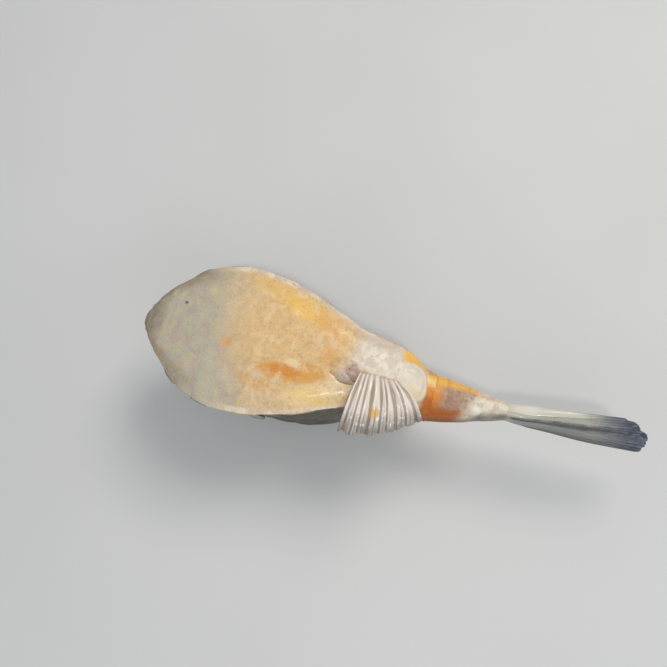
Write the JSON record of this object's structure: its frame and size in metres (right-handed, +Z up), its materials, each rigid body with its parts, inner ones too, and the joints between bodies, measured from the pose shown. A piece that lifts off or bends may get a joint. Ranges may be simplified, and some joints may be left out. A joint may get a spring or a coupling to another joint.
{
  "type": "yellow boxfish lying on its back",
  "caption": "Large adult boxfish, caught and lying on its back: bony carapace of six-sided plates with a flat belly, tapered tail stalk, long tail fin, and fins with raised rays.",
  "frame": {"origin": "on the floor, under the middle of the whole fish's box", "axes": "+X along the fish from snout to tail, +Z up, out of the belly, as the fish lies on its back; the fish's right side faces -Y"},
  "size_m": [0.401, 0.1148, 0.1193],
  "materials": {
    "carapace_skin": "damp bony plates under thin skin: pale cream to orange on the belly, brown-grey on the sides and back",
    "tail_skin": "damp skin, orange with purple-brown mottling",
    "tail_fin_membrane": "damp membrane, beige rays and slate-blue end",
    "fin_membrane": "wet, slightly see-through membrane with pale rays",
    "eye": "wet and glossy, pale ring round a dark pupil"
  },
  "bodies": {
    "root": {"head": "carapace_skin", "carapace_middle": "carapace_skin", "carapace_rear": "carapace_skin", "tail_stalk": "tail_skin", "tail_fin": "tail_fin_membrane", "anal_fin": "fin_membrane", "dorsal_fin": "fin_membrane", "pectoral_fin_right": "fin_membrane", "pectoral_fin_left": "fin_membrane", "eye_right": "eye", "eye_left": "eye"}
  },
  "joints": []
}
